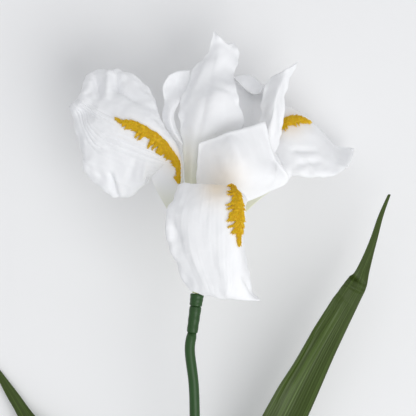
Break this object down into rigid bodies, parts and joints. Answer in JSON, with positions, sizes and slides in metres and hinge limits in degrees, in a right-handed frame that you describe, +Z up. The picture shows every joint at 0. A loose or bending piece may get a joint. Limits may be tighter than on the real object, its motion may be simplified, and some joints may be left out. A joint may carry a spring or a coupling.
{
  "type": "artificial iris flower",
  "caption": "Cut stem of an artificial white iris with golden bearded falls, upright standards and sword leaves, lying on its side.",
  "frame": {"origin": "bottom centre of the bounding box, on the surface the flower lies on", "axes": "+Y along the stem towards the bloom, +X to the bloom's right seen from above, +Z up from the surface"},
  "size_m": [0.1896, 0.381, 0.0973],
  "materials": {
    "petal_fabric": "matte coated white fabric, faintly veined",
    "beard": "golden moulded bristles",
    "receptacle_plastic": "pale green moulded",
    "stem_plastic": "glossy dark green moulded",
    "wire_steel": "drawn steel wire",
    "leaf_fabric": "coated olive green fabric with a satin sheen"
  },
  "bodies": {
    "root": {"fall_left": "petal_fabric", "fall_front": "petal_fabric", "fall_right": "petal_fabric", "standard_centre": "petal_fabric", "standard_right": "petal_fabric", "standard_back": "petal_fabric", "style_arm_front": "petal_fabric", "style_arm_left": "petal_fabric", "style_arm_right": "petal_fabric", "beard_left": "beard", "beard_front": "beard", "beard_right": "beard", "receptacle": "receptacle_plastic", "collar_upper": "stem_plastic", "collar_lower": "stem_plastic", "stem": "stem_plastic", "stem_wire": "wire_steel", "leaf_left": "leaf_fabric", "leaf_right": "leaf_fabric"}
  },
  "joints": []
}
